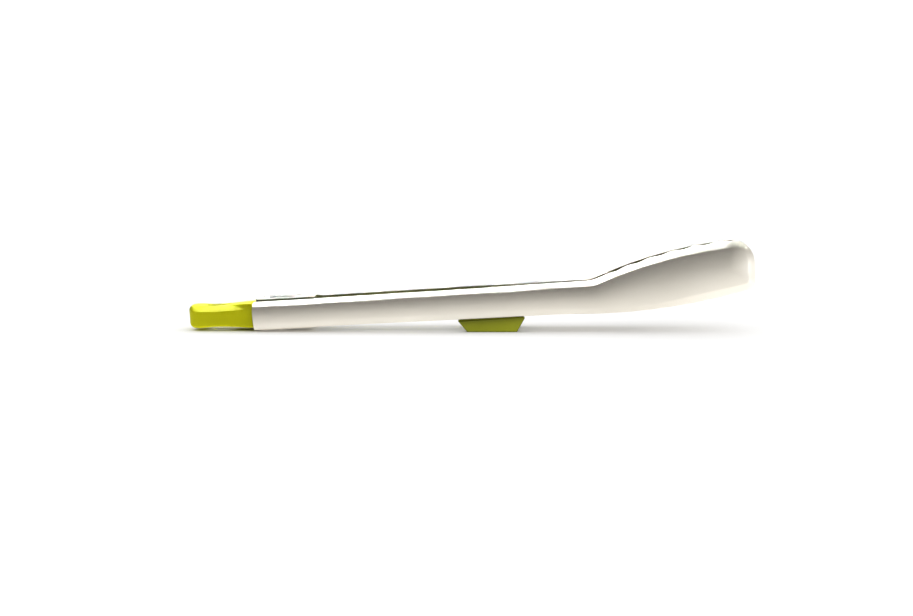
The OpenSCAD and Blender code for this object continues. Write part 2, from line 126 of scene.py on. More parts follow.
# The wall is set in at a scallop, less and less up to this depth from the rim
RIM_RIPPLE = 0.35
RIPPLE_DEPTH = 6
# The rim is chamfered inside, which leaves a narrow land at its edge
RIM_LAND = 0.9
RIM_LEAD = 1.3

# Ears of the hinge: they reach past the centre plane, and the back arm's lap over the front arm's
SLIDE_GAP = 0.1
EAR_REACH = 6.5
EAR_END = 27.5
EAR_R = 3
EAR_ROOT_R = 2
EAR_DRAFT = 0.12
EAR_ROOT = EAR_END + EAR_DRAFT
EAR_NOSE = 0.95 * EAR_REACH
NOSE_CHAMFER = 0.3
EAR_RECESS = 0.85
EAR_JOGGLE = WALL + SLIDE_GAP - EAR_RECESS
JOGGLE_X = (24, 33)
OUTER_FACE = HINGE_HALF + EAR_JOGGLE
# Depths between which the front arm's wall steps in to its ears
RECESS_DEPTHS = (7.55, 8.3)
RECESS_END = EAR_ROOT + 1

# Pivot and lock
PIN_R = 2.5
PIN_CLEARANCE = 0.05
PIN_SINK = 0.2
PIN_END = OUTER_FACE - PIN_SINK
LOCK_R = 1.5
LOCK_CLEARANCE = 0.3
LOCKED_X = 22
LOOP_TRAVEL = 14
OPEN_ANGLE = 12
SLOT_R = LOCK_R + LOCK_CLEARANCE

# Length that a cut runs past the face it opens
PAST = 1
# Points closer than this are merged: in millimetres on drawn pieces, in metres on CAD ones
DRAWN_MERGE = 1e-4
CAD_MERGE = 1e-6

# Steps of the lofts
ARC_STEPS = 6
NOSE_STEPS = 10
LOWER_STEPS = 6
UPPER_STEPS = 14
FINE_LEAD = 8
HANDLE_STEP = 2.2
HEAD_STEP = SCALLOP_PITCH / 12


def mix(a, b, t):
    """The value a share t of the way from a to b."""
    return a + (b - a) * t


def ease(t):
    """A share from 0 to 1 with soft ends."""
    return t * t * (3 - 2 * t)


def along(a, b, x):
    """How far x is from a to b, as a share."""
    return min(1.0, max(0.0, (x - a) / (b - a)))


def curve(start, middle, end, t):
    """A place on a curve that bends towards its middle point."""
    return mix(mix(start, middle, t), mix(middle, end, t), t)


def quarter(steps):
    """Angles from 0 to a right angle."""
    return [math.pi / 2 * k / steps for k in range(steps + 1)]


# ---- Mesh helpers ----
def add_object(name, data):
    """A new object in the scene."""
    item = bpy.data.objects.new(name, data)
    bpy.context.scene.collection.objects.link(item)
    return item


def new_mesh(name, points, faces, merge=0.0):
    """An object in the tongs' frame, its faces turned outwards."""
    mesh = bpy.data.meshes.new(name)
    mesh.from_pydata([tuple(p) for p in points], [], [tuple(f) for f in faces])
    bm = bmesh.new()
    bm.from_mesh(mesh)
    if merge:
        bmesh.ops.remove_doubles(bm, verts=bm.verts, dist=merge)
    bmesh.ops.recalc_face_normals(bm, faces=bm.faces)
    bm.to_mesh(mesh)
    bm.free()
    return add_object(name, mesh)


def combine(piece, tools, operation):
    """Cuts the tools out of the piece, or joins them to it, as one clean solid."""
    for tool in tools:
        change = piece.modifiers.new("combine", "BOOLEAN")
        change.operation = operation
        change.solver = "EXACT"
        change.object = tool
    graph = bpy.context.evaluated_depsgraph_get()
    result = bpy.data.meshes.new_from_object(piece.evaluated_get(graph))
    piece.modifiers.clear()
    piece.data = result
    for tool in tools:
        bpy.data.objects.remove(tool)
    return piece


def join(name, parts):
    """One object made of separate closed solids."""
    bm = bmesh.new()
    for part in parts:
        bm.from_mesh(part.data)
        bpy.data.objects.remove(part)
    mesh = bpy.data.meshes.new(name)
    bm.to_mesh(mesh)
    bm.free()
    return add_object(name, mesh)


def finish_piece(piece, material, body, nodes=(), sharp=35):
    """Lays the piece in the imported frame, dresses it if it needs it, and hands it to its CAD body."""
    piece.data.transform(LAY)
    if material:
        dress(piece, material)
    smooth(piece, sharp)
    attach(piece, body)
    if nodes:
        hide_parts(*nodes)
    return piece


def dress(piece, material):
    """Gives the whole piece one material."""
    piece.data.materials.clear()
    piece.data.materials.append(material)
    for face in piece.data.polygons:
        face.material_index = 0


def smooth(piece, sharp):
    """Smooth shading, but for edges that turn by more than sharp degrees."""
    piece.data.shade_smooth()
    piece.data.set_sharp_from_angle(angle=math.radians(sharp))


def grid_faces(rows, columns, closed_rows=False, closed_columns=False):
    """Quads over a grid of vertices numbered row by row."""
    faces = []
    for i in range(rows if closed_rows else rows - 1):
        for j in range(columns if closed_columns else columns - 1):
            a, b = i * columns, (i + 1) % rows * columns
            c = (j + 1) % columns
            faces.append((a + j, b + j, b + c, a + c))
    return faces


def lathe(name, profile, centre=(0, 0, 0), steps=48, along_y=0):
    """A turned solid about Z, or about Y where along_y is 1 or -1, from (radius, height) pairs."""
    points = []
    for radius, height in profile:
        for k in range(steps):
            a = 2 * math.pi * k / steps
            p = (radius * math.cos(a), radius * math.sin(a), height)
            if along_y:
                p = (p[0], along_y * p[2], p[1])
            points.append([p[i] + centre[i] for i in range(3)])
    faces = grid_faces(len(profile), steps, closed_rows=profile[0][0] > 0, closed_columns=True)
    return new_mesh(name, points, faces, merge=DRAWN_MERGE)


def plug(radius, low, high):
    """Profile of a plain cylinder."""
    return [(0, low), (radius, low), (radius, high), (0, high)]


def mirrored(lower):
    """A profile whose upper half mirrors its lower half."""
    return lower + [(radius, -height) for radius, height in reversed(lower)]


def end_faces(size, count):
    """Faces that close the first and the last of count rings."""
    return [list(range(size)), list(range((count - 1) * size, count * size))]


def inset(outline, amount):
    """A closed anticlockwise outline moved inwards by an amount, along the corners' bisectors."""
    points = np.array(outline, float)
    ahead = np.roll(points, -1, axis=0) - points
    ahead /= np.linalg.norm(ahead, axis=1)[:, None]
    behind = np.roll(ahead, 1, axis=0)
    normal = np.stack([-(ahead + behind)[:, 1], (ahead + behind)[:, 0]], axis=1)
    length = np.einsum("ij,ij->i", normal, np.stack([-ahead[:, 1], ahead[:, 0]], axis=1))
    return points + amount * normal / length[:, None]


def rounded(corners, radii, steps=5):
    """A closed anticlockwise outline whose corners are rounded by their radii."""
    outline = []
    count = len(corners)
    for k, (corner, radius) in enumerate(zip(corners, radii)):
        p = np.array(corner, float)
        before = np.array(corners[k - 1], float) - p
        after = np.array(corners[(k + 1) % count], float) - p
        before /= np.linalg.norm(before)
        after /= np.linalg.norm(after)
        half = math.acos(float(before @ after)) / 2
        reach = radius / math.tan(half)
        centre = p + (before + after) / np.linalg.norm(before + after) * radius / math.sin(half)
        start = p + before * reach - centre
        turn = math.pi - 2 * half
        for i in range(steps + 1):
            a = turn * i / steps
            spin = np.array([[math.cos(a), -math.sin(a)], [math.sin(a), math.cos(a)]])
            outline.append(centre + spin @ start)
    return outline


def slab(name, outline, low, high, edge, place, steps=4):
    """A plate with rounded edges between two levels. place(u, v, level) is a point in the tongs' frame."""
    layers = [(edge * (1 - math.sin(a)), low + edge * (1 - math.cos(a))) for a in quarter(steps)]
    layers += [(amount, low + high - level) for amount, level in reversed(layers)]
    points = [place(u, v, level) for amount, level in layers for u, v in inset(outline, amount)]
    size = len(outline)
    faces = grid_faces(len(layers), size, closed_columns=True) + end_faces(size, len(layers))
    return new_mesh(name, points, faces)


# Height of the dome at a wire's end, as a share of the wire's radius
END_DOME = 0.6


def tube(name, path, radius, sides=14):
    """A round wire along a path, with domed ends."""
    path = [Vector(p) for p in path]
    ahead = path[1:] + path[-1:]
    behind = path[:1] + path[:-1]
    tangents = [(after - before).normalized() for after, before in zip(ahead, behind)]
    dome = [(END_DOME * radius * math.cos(a), radius * math.sin(a)) for a in quarter(4)[:-1]]
    rings = [(path[0] - tangents[0] * height, tangents[0], width) for height, width in dome]
    rings += [(p, t, radius) for p, t in zip(path, tangents)]
    rings += [(path[-1] + tangents[-1] * height, tangents[-1], width) for height, width in reversed(dome)]
    points = []
    for centre, tangent, size in rings:
        side = tangent.cross(Vector((0, 0, 1))).normalized()
        over = side.cross(tangent)
        for k in range(sides):
            a = 2 * math.pi * k / sides
            points.append(centre + size * (math.cos(a) * side + math.sin(a) * over))
    return new_mesh(name, points, grid_faces(len(rings), sides, closed_columns=True), merge=DRAWN_MERGE)


# Turns between faces, in degrees: flatter ones are dissolved, sharper ones are rounded
FLAT_TURN = 1
SHARP_TURN = 40


def softened(node, edge, material):
    """The CAD piece with its sharp edges rounded, standing in for its node."""
    source = frame["nodes"][node]
    bm = bmesh.new()
    bm.from_mesh(source.data)
    bmesh.ops.remove_doubles(bm, verts=bm.verts, dist=CAD_MERGE)
    bmesh.ops.dissolve_limit(bm, angle_limit=math.radians(FLAT_TURN), verts=bm.verts, edges=bm.edges)
    folds = [e for e in bm.edges if len(e.link_faces) == 2]
    sharp = [e for e in folds if e.calc_face_angle() > math.radians(SHARP_TURN)]
    bmesh.ops.bevel(bm, geom=sharp, offset=edge * MM, segments=2, profile=0.5, affect="EDGES",
                    clamp_overlap=True)
    mesh = bpy.data.meshes.new(node + "_piece")
    bm.to_mesh(mesh)
    bm.free()
    piece = add_object(node + "_piece", mesh)
    dress(piece, material)
    smooth(piece, 50)
    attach(piece, source["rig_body"])
    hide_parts(node)
    return piece


# ---- Materials ----
# Noise keeps mostly to this part of its range
NOISE_MIDDLE = (0.3, 0.7)
# Moulded surfaces: sizes and heights in millimetres
CLOUD_SIZE = 26
FLOW_SIZE = 14
GLOSS_SIZE = 7
GRAIN_HEIGHT = 0.012
FLOW_HEIGHT = 0.02
# Brushed metal: sizes in millimetres, and how far a stain darkens it
LINE_SIZE = 0.25
STAIN_SIZE = 5
STAIN_DARKNESS = 0.78
# Share of the second colour in specks and stains
TINT = 0.35


class Look:
    """A procedural material: a principled shader and the nodes that feed it."""

    def __init__(self, name, **sockets):
        self.material = bpy.data.materials.new(name)
        self.material.use_nodes = True
        self.nodes = self.material.node_tree.nodes
        self.shader = self.nodes["Principled BSDF"]
        self.place = self.nodes.new("ShaderNodeTexCoord").outputs["Object"]
        for socket, value in sockets.items():
            self.shader.inputs[socket.replace("_", " ")].default_value = value

    def link(self, source, target):
        self.material.node_tree.links.new(source, target)

    def noise(self, size, detail, stretch=(1, 1, 1)):
        """Noise whose features are about size millimetres across."""
        mapping = self.nodes.new("ShaderNodeMapping")
        mapping.inputs["Scale"].default_value = stretch
        self.link(self.place, mapping.inputs["Vector"])
        texture = self.nodes.new("ShaderNodeTexNoise")
        texture.inputs["Scale"].default_value = 1 / (size * MM)
        texture.inputs["Detail"].default_value = detail
        self.link(mapping.outputs["Vector"], texture.inputs["Vector"])
        return texture.outputs["Fac"]

    def spread(self, factor, low, high):
        """The noise's middle range stretched to run from low to high."""
        ranged = self.nodes.new("ShaderNodeMapRange")
        ranged.inputs["From Min"].default_value = NOISE_MIDDLE[0]
        ranged.inputs["From Max"].default_value = NOISE_MIDDLE[1]
        ranged.inputs["To Min"].default_value = low
        ranged.inputs["To Max"].default_value = high
        self.link(factor, ranged.inputs["Value"])
        return ranged.outputs["Result"]

    def blend(self, factor, a, b):
        """Colour a where the factor is 0 and b where it is 1. Either may be a socket."""
        blended = self.nodes.new("ShaderNodeMix")
        blended.data_type = "RGBA"
        self.link(factor, blended.inputs["Factor"])
        for socket, value in ((blended.inputs[6], a), (blended.inputs[7], b)):
            if isinstance(value, bpy.types.NodeSocket):
                self.link(value, socket)
            else:
                socket.default_value = (*value, 1)
        return blended.outputs[2]

    def colour(self, value):
        self.link(value, self.shader.inputs["Base Color"])

    def roughness(self, value):
        self.link(value, self.shader.inputs["Roughness"])

    def bump(self, *layers):
        """Each layer is (factor, height in millimetres)."""
        normal = None
        for factor, height in layers:
            node = self.nodes.new("ShaderNodeBump")
            node.inputs["Distance"].default_value = height * MM
            self.link(factor, node.inputs["Height"])
            if normal:
                self.link(normal, node.inputs["Normal"])
            normal = node.outputs["Normal"]
        self.link(normal, self.shader.inputs["Normal"])


def moulded(name, colour, shade, roughness, grain=0.35, **sockets):
    """Moulded plastic or rubber: spark-eroded grain, faint flow marks and uneven gloss."""
    look = Look(name, **sockets)
    cloud = look.spread(look.noise(CLOUD_SIZE, 3), 0, 1)
    speck = look.spread(look.noise(grain * 3, 2), 0, TINT)
    look.colour(look.blend(cloud, look.blend(speck, colour, shade), shade))
    look.roughness(look.spread(look.noise(GLOSS_SIZE, 4), roughness - 0.05, roughness + 0.06))
    look.bump((look.noise(grain, 1), GRAIN_HEIGHT), (look.noise(FLOW_SIZE, 2), FLOW_HEIGHT))
    return look.material


def brushed(name, colour, roughness, stretch, height=0.0015):
    """Metal with fine brush lines along one direction."""
    look = Look(name, Metallic=1.0)
    lines = look.noise(LINE_SIZE, 3, stretch)
    stain = look.spread(look.noise(STAIN_SIZE, 3), 0, TINT)
    look.colour(look.blend(stain, colour, [c * STAIN_DARKNESS for c in colour]))
    look.roughness(look.spread(lines, roughness - 0.05, roughness + 0.07))
    look.bump((lines, height))
    return look.material


ARM_NYLON = moulded("arm_nylon", (0.80, 0.752, 0.655), (0.77, 0.722, 0.625), 0.42)
# Inner skin and rim land: a green inner moulding, coloured far darker than that green as painted shade for
# the gap between the arms
INNER_PAINTED_SHADE = moulded("inner_painted_shade", (0.13, 0.135, 0.03), (0.11, 0.115, 0.028), 0.5)
# The feet are the loop's lime silicone, coloured much darker as painted shade for their place under the arm
FOOT_SHADED_SILICONE = moulded("foot_silicone", (0.24, 0.255, 0.005), (0.21, 0.225, 0.004), 0.6, 0.5,
                        Specular_IOR_Level=0.3)
LOOP_SILICONE = moulded("loop_silicone", (0.83, 0.82, 0.009), (0.76, 0.75, 0.009), 0.6, 0.5,
                        Specular_IOR_Level=0.08)
COVER_PLASTIC = moulded("cover_plastic", (0.42, 0.46, 0.03), (0.38, 0.42, 0.028), 0.45)
BEARING_NYLON = moulded("bearing_nylon", (0.03, 0.03, 0.032), (0.022, 0.022, 0.024), 0.5)
PIN_STEEL = brushed("pin_steel", (0.62, 0.62, 0.61), 0.3, (1, 1, 6))
SPRING_STEEL = brushed("spring_steel", (0.5, 0.5, 0.51), 0.26, (1, 1, 5))
LOCK_STEEL = brushed("lock_steel", (0.6, 0.6, 0.59), 0.34, (0.06, 1, 1))
WEIGHT_STEEL = brushed("weight_steel", (0.42, 0.44, 0.47), 0.42, (0.4, 1, 1), 0.004)
SCREW_STEEL = brushed("screw_steel", (0.66, 0.66, 0.65), 0.25, (1, 1, 1))


# ---- Outline of an arm ----
def handle_half(x):
    return mix(HINGE_HALF, NECK_HALF, along(TAPER_X, NECK_X, x))


def upper_slope(x):
    """Climb of the head's upper edge, in radians."""
    return math.asin(math.sin(CLIMB) - (x - FILLET_END) / UPPER_RADIUS)


def lower_slope(x):
    """Climb of the head's lower edge, in radians."""
    return math.asin((x - BELLY_X) / LOWER_RADIUS)


def upper_edge(x):
    if x < NECK_X:
        return handle_half(x)
    if x < FILLET_END:
        return NECK_HALF + FILLET_R - math.sqrt(FILLET_R ** 2 - (x - NECK_X) ** 2)
    return FILLET_TOP + UPPER_RADIUS * (math.cos(upper_slope(x)) - math.cos(CLIMB))


def lower_edge(x):
    if x < BELLY_X:
        return -handle_half(x) - BELLY_DROP * ease(along(BELLY_START, BELLY_X, x))
    return -NECK_HALF - BELLY_DROP + LOWER_RADIUS * (1 - math.cos(lower_slope(x)))


def back_depth(x):
    """Depth of an arm's back along its middle."""
    if x < NECK_X:
        return mix(ARM_DEPTH, NECK_DEPTH, ease(along(SLIMMING_X, NECK_X, x)))
    if x < HEAD_X:
        return mix(NECK_DEPTH, BELLY_DEPTH, ease(along(NECK_X, HEAD_X, x)))
    return mix(BELLY_DEPTH, TIP_DEPTH, along(HEAD_X, TIP_X, x) ** 2)


def crown_at(x):
    """Rise of an arm's back to its middle: more where the arm is taller."""
    return CROWN * ((upper_edge(x) - lower_edge(x)) / (2 * HINGE_HALF)) ** CROWN_GROWTH


def scallop(x):
    """How far open the rim is, from 0 at a peak to 1 at the middle of a scallop."""
    if x < FIRST_PEAK or x > LAST_PEAK:
        return 0.0
    return (1 - math.cos(2 * math.pi * (x - FIRST_PEAK) / SCALLOP_PITCH)) / 2


def rim_depth(x):
    """Depth of an arm's rim from the centre plane."""
    if x < NECK_X:
        return mix(GRIP_GAP, NECK_GAP, ease(along(*GAP_X, x)))
    return mix(NECK_GAP, TIP_GAP, ease(along(NECK_X, LAST_PEAK, x))) + SCALLOP_DEPTH * scallop(x)


def beveling(x):
    """0 on the handle, rising to 1 at the head's end."""
    return ease(along(*BEVEL_X, x))


def joggle_at(x, joggle):
    """The back arm steps out past the front arm's ears."""
    return joggle * (1 - ease(along(*JOGGLE_X, x)))


def steps_between(start, stop, step):
    """Even places from start to stop, both left out."""
    count = max(1, round((stop - start) / step))
    return [mix(start, stop, k / count) for k in range(1, count)]


def ear_stations():
    """(x, rim depth) along an ear, from the hinge end to the plain rim of the handle."""
    arc = quarter(ARC_STEPS)
    nose = HINGE_X + NOSE_CHAMFER
    places = [(HINGE_X, NOSE_CHAMFER)]
    places += [(nose + EAR_NOSE * (1 - math.cos(a)), -EAR_REACH * math.sin(a)) for a in quarter(NOSE_STEPS)]
    places += [(x, -EAR_REACH) for x in steps_between(places[-1][0], EAR_END - EAR_R, HANDLE_STEP)]
    places += [(EAR_END - EAR_R * (1 - math.sin(a)), -EAR_REACH + EAR_R * (1 - math.cos(a))) for a in arc]
    places += [(EAR_ROOT + EAR_ROOT_R * (1 - math.cos(a)), GRIP_GAP - EAR_ROOT_R * (1 - math.sin(a)))
               for a in arc]
    return places


def rim_stations():
    """(x, rim depth) along an edge, from the hinge end to the tip's lower corner."""
    places = ear_stations()
    lower_stop, _ = corner_stops()
    fine = FIRST_PEAK - FINE_LEAD * HEAD_STEP
    plain = steps_between(places[-1][0], fine, HANDLE_STEP)
    scalloped = [fine] + steps_between(fine, lower_stop, HEAD_STEP) + [lower_stop]
    return places + [(x, rim_depth(x)) for x in plain + scalloped]


def corner_stops():
    """Where the lower and the upper edge give way to the corners of the tip."""
    upper = TIP_X - UPPER_CORNER * (1 - math.sin(upper_slope(TIP_X - UPPER_CORNER)))
    lower = TIP_X - LOWER_CORNER * (1 - math.sin(lower_slope(TIP_X - LOWER_CORNER)))
    return lower, upper


def corner_places(centre, radius, turn, bevels, steps):
    """(x, z, bevel) round one corner of the tip, with both its ends."""
    places = []
    for k in range(steps + 1):
        a = mix(*turn, k / steps)
        x, z = centre[0] + radius * math.cos(a), centre[1] + radius * math.sin(a)
        places.append((x, z, mix(*bevels, k / steps)))
    return places


def tip_stations():
    """(x, z, bevel) round the tip, from the lower corner to the upper one."""
    lower_stop, upper_stop = corner_stops()
    low_turn = lower_slope(TIP_X - LOWER_CORNER)
    high_turn = upper_slope(TIP_X - UPPER_CORNER)
    low = (TIP_X - LOWER_CORNER, lower_edge(lower_stop) + LOWER_CORNER * math.cos(low_turn))
    high = (TIP_X - UPPER_CORNER, upper_edge(upper_stop) - UPPER_CORNER * math.cos(high_turn))
    lower = corner_places(low, LOWER_CORNER, (low_turn - math.pi / 2, 0), (HEAD_BOTTOM_BEVEL, TIP_BEVEL),
                          LOWER_STEPS)
    front = [(TIP_X, z, TIP_BEVEL) for z in steps_between(low[1], high[1], HEAD_STEP)]
    upper = corner_places(high, UPPER_CORNER, (0, math.pi / 2 - high_turn), (TIP_BEVEL, HEAD_TOP_BEVEL),
                          UPPER_STEPS)
    return lower[1:] + front + upper[:-1]


def closed_up(x, stop):
    """The upper edge and the spine end before the lower edge, so on the head their places close up."""
    lower_stop, _ = corner_stops()
    return x if x < HEAD_X else mix(HEAD_X, stop, (x - HEAD_X) / (lower_stop - HEAD_X))


def rim_path():
    """(x, z, rim depth, place on the spine, edge) along the lower edge, round the tip and back.

    The edge is "lower", "upper" or, round the tip, the width of its bevel.
    """
    stations = rim_stations()
    _, upper_stop = corner_stops()
    last = len(stations) - 1
    path = [(x, lower_edge(x), depth, k, "lower") for k, (x, depth) in enumerate(stations)]
    path += [(x, z, rim_depth(x), last, bevel) for x, z, bevel in tip_stations()]
    for k in range(last, -1, -1):
        x = closed_up(stations[k][0], upper_stop)
        depth = stations[k][1] if x < HEAD_X else rim_depth(x)
        path.append((x, upper_edge(x), depth, k, "upper"))
    return path


def spine_path():
    """(x, z) along the middle of an arm's back."""
    places = [closed_up(x, SPINE_END) for x, _ in rim_stations()]
    return [(x, (upper_edge(x) + lower_edge(x)) / 2) for x in places]


# ---- Section of an arm at one place of its rim ----
# Shares of the wall, of the step in to an ear, of the bevel and of the back at which rows lie
WALL_ROWS = (0.17, 0.34, 0.5, 0.67, 0.84)
RECESS_ROWS = (0, 0.33, 0.67, 1)
BEVEL_ROWS = (0.1, 0.22, 0.36, 0.5, 0.64, 0.78, 0.9, 0.97)
FACE_ROWS = (0.0, 0.025, 0.08, 0.17, 0.28, 0.4, 0.54, 0.68, 0.84)
# Least height of plain wall between the rim's chamfer and the bevel
LEAST_WALL = 0.4
# A rounded lip and the chamfer inside it pass through these shares of their size
LIP_PASS = 0.3
LEAD_PASS = 0.6
# Stretch over which the slope of the back is measured
SLOPE_STEP = 0.1


def edge_shape(edge, x):
    """Width, depth and softness of the bevel at one place of an arm's rim."""
    growth = beveling(x)
    if edge == "lower":
        depth = mix(HANDLE_BOTTOM_DEPTH, HEAD_BEVEL_DEPTH, growth)
        return mix(HANDLE_BOTTOM_BEVEL, HEAD_BOTTOM_BEVEL, growth), depth, mix(1, HEAD_SOFTNESS, growth)
    if edge == "upper":
        return mix(HANDLE_TOP_BEVEL, HEAD_TOP_BEVEL, growth), TOP_BEVEL_DEPTH, TOP_SOFTNESS
    share = max(0, (edge - TIP_BEVEL) / (HEAD_TOP_BEVEL - TIP_BEVEL))
    return edge, mix(HEAD_BEVEL_DEPTH, TOP_BEVEL_DEPTH, share), HEAD_SOFTNESS


def arm_profile(depth_at, reach, rim, bevel, depth, softness, inner):
    """(inset, depth) from the lip to near the spine, for the outer or the inner skin."""
    crease = depth_at(bevel)
    depth = min(depth, crease - rim - RIM_LEAD - LEAST_WALL)
    if inner:
        skin = WALL
        width = bevel + INNER_SPREAD * WALL
        softness = mix(softness, 1, 0.5)
        rows = [(RIM_LAND, rim), (mix(RIM_LAND, WALL, 0.5), rim + LEAD_PASS * RIM_LEAD),
                (WALL, rim + RIM_LEAD)]
    else:
        skin = 0
        width = bevel
        lip = EAR_LIP if rim < 0 else LIP
        rows = [(lip, rim), (LIP_PASS * lip, rim + LIP_PASS * lip), (0, rim + lip)]
    start = np.array([skin, crease - depth])
    end = np.array([width, depth_at(width) - skin])
    slope = (depth_at(width + SLOPE_STEP) - depth_at(width)) / SLOPE_STEP
    corner = np.array([start[0], end[1] - slope * (end[0] - start[0])])
    middle = mix((start + end) / 2, corner, softness)
    lip_end = rows[-1][1]
    if rim < 0:
        wall = [mix(lip_end, RECESS_DEPTHS[0], 0.5)] + [mix(*RECESS_DEPTHS, t) for t in RECESS_ROWS]
    else:
        wall = [mix(lip_end, start[1], t) for t in WALL_ROWS]
    rows += [(skin, level) for level in wall + [start[1]]]
    rows += [tuple(curve(start, middle, end, t)) for t in BEVEL_ROWS]
    rows += [(q, depth_at(q) - skin) for q in (mix(width, reach, t) for t in FACE_ROWS)]
    return np.array(rows)


def shrink(rows, amount):
    """Moves a profile across itself, so that the end of an arm has a chamfered edge."""
    slope = np.gradient(rows, axis=0)
    slope /= np.linalg.norm(slope, axis=1)[:, None]
    return rows + amount * np.stack([slope[:, 1], -slope[:, 0]], axis=1)


def skin_points(start, end, rim, edge, inner, at_end, side, recess):
    """Points of one skin of an arm, from a place of its rim to one of its spine."""
    reach = float(np.linalg.norm(end - start))

    def depth_at(q):
        share = q / reach
        place = mix(start[0], end[0], share)
        return back_depth(place) - crown_at(place) * (1 - share) ** 2

    rows = arm_profile(depth_at, reach, rim, *edge_shape(edge, start[0]), inner)
    if at_end:
        rows = shrink(rows, -END_CHAMFER if inner else END_CHAMFER)
    in_wall = rows[:, 0] < 2 * WALL
    fade = np.clip(1 - (rows[:, 1] - rim) / RIPPLE_DEPTH, 0, 1)
    rows[:, 0] += RIM_RIPPLE * scallop(start[0]) * fade * in_wall
    if start[0] < RECESS_END:
        step_in = [recess * (1 - ease(along(*RECESS_DEPTHS, level))) for level in rows[:, 1]]
        rows[:, 0] += np.array(step_in) * in_wall
    places = [mix(start, end, q / reach) for q, _ in rows]
    return [(x, side * level, z) for (x, z), (_, level) in zip(places, rows)]


# ---- Arms ----
def shell_faces(rim, size, spine_from):
    """Faces of the outer and of the inner skin: sections of size points, then a spine point."""
    def vertex(k, inner, j):
        if j < size:
            return (2 * k + inner) * size + j
        return spine_from + 2 * rim[k][3] + inner

    outside, inside = [], []
    for k in range(len(rim) - 1):
        for inner, skin in ((False, outside), (True, inside)):
            for j in range(size):
                ring = (vertex(k, inner, j), vertex(k, inner, j + 1), vertex(k + 1, inner, j + 1),
                        vertex(k + 1, inner, j))
                skin.append(tuple(dict.fromkeys(ring)))
        inside.append((vertex(k, 0, 0), vertex(k + 1, 0, 0), vertex(k + 1, 1, 0), vertex(k, 1, 0)))
    for k in (0, len(rim) - 1):
        for j in range(size):
            outside.append((vertex(k, 0, j), vertex(k, 0, j + 1), vertex(k, 1, j + 1), vertex(k, 1, j)))
    return [f for f in outside if len(f) > 2], [f for f in inside if len(f) > 2]


def arm_shell(name, side, joggle, recess):
    """The moulded channel of an arm with its ears. side is -1 for the front arm, 1 for the back one."""
    rim = rim_path()
    spine = spine_path()
    points = []
    for k, (x, z, depth, spine_k, edge) in enumerate(rim):
        z += math.copysign(joggle_at(x, joggle), z)
        start, end = np.array([x, z]), np.array(spine[spine_k])
        at_end = k in (0, len(rim) - 1)
        for inner in (False, True):
            section = skin_points(start, end, depth, edge, inner, at_end, side, recess)
            points += section
    spine_from = len(points)
    for k, (x, z) in enumerate(spine):
        trim = END_CHAMFER if k == 0 else 0
        points.append((x, side * (back_depth(x) - trim), z))
        points.append((x, side * (back_depth(x) - WALL + trim), z))
    # The inner faces and the rim's land take the dark inner material, which is painted shade inside the
    # channel and along the rim
    cream, green = shell_faces(rim, len(section), spine_from)
    shell = new_mesh(name, points, cream + green)
    shell.data.materials.append(ARM_NYLON)
    shell.data.materials.append(INNER_PAINTED_SHADE)
    for face in shell.data.polygons:
        face.material_index = int(face.index >= len(cream))
    return shell


# ---- Cuts in the ears ----
EAR_CHAMFER = 0.3
SLOT_PLACES = 4
SLOT_POINTS = 48


def lock_place(angle):
    """Where the lock pin stands in an arm's own frame when that arm is open by an angle, in degrees."""
    r = LOCKED_X - LOOP_TRAVEL * angle / OPEN_ANGLE
    return np.array([r * math.cos(math.radians(angle)), r * math.sin(math.radians(angle))])


def slot_outline(radius, side):
    """Outline of the wedge-shaped lock slot: the outside of all the pin's places."""
    centres = [lock_place(0), np.array([LOCKED_X - LOOP_TRAVEL, 0])]
    centres += [lock_place(OPEN_ANGLE * (k + 1) / SLOT_PLACES) for k in range(SLOT_PLACES)]
    outline = []
    for k in range(SLOT_POINTS):
        a = 2 * math.pi * k / SLOT_POINTS
        way = np.array([math.cos(a), math.sin(a)])
        p = max(centres, key=lambda c: float(c @ way)) + radius * way
        outline.append((p[0], -side * p[1]))
    return outline


def ear_levels(outer):
    """(height, widening) of a cut through both ears, chamfered at each face."""
    inner = outer - WALL
    upper = [(outer + PAST, EAR_CHAMFER), (outer, EAR_CHAMFER), (outer - EAR_CHAMFER, 0),
             (inner + EAR_CHAMFER, 0), (inner, EAR_CHAMFER)]
    return upper + [(-height, wide) for height, wide in reversed(upper)]


def ear_cutters(side, outer):
    """Cutters for an arm's pivot bore and lock slot. Its ears' outer faces are at outer."""
    levels = ear_levels(outer)
    bore_r = PIN_R + PIN_CLEARANCE
    profile = [(0, levels[0][0])] + [(bore_r + wide, height) for height, wide in levels]
    profile.append((0, levels[-1][0]))
    points = [(x, y, height) for height, wide in levels for x, y in slot_outline(SLOT_R + wide, side)]
    faces = grid_faces(len(levels), SLOT_POINTS, closed_columns=True) + end_faces(SLOT_POINTS, len(levels))
    return [lathe("bore", profile), new_mesh("slot", points, faces)]


# ---- Places along the handle ----
COVER_X = (40, 112)
BOSS_R = 3
BOSS_DEPTH = 10.1
BOSS_LENGTH = 5.4
SCREW_R = 1.1
SCREW_LENGTH = 4.0
SCREW_BORE = 3.6
SCREW_X = (COVER_X[0] + 6, COVER_X[1] - 6)
SCREW_FACE = 8.6
FOOT_X = 134.3
FOOT_TOP = 40.5
FOOT_BASE = 30
FOOT_NEAR = 8
FOOT_DEPTH = 5
PEG_X = (FOOT_X - 10, FOOT_X + 10)
PEG_DEPTH = 10
PEG_R = 1.2
# The recess for the retainer in the back arm's lower ear
CLIP_RECESS_R = 4.4
CLIP_RECESS = 1.1


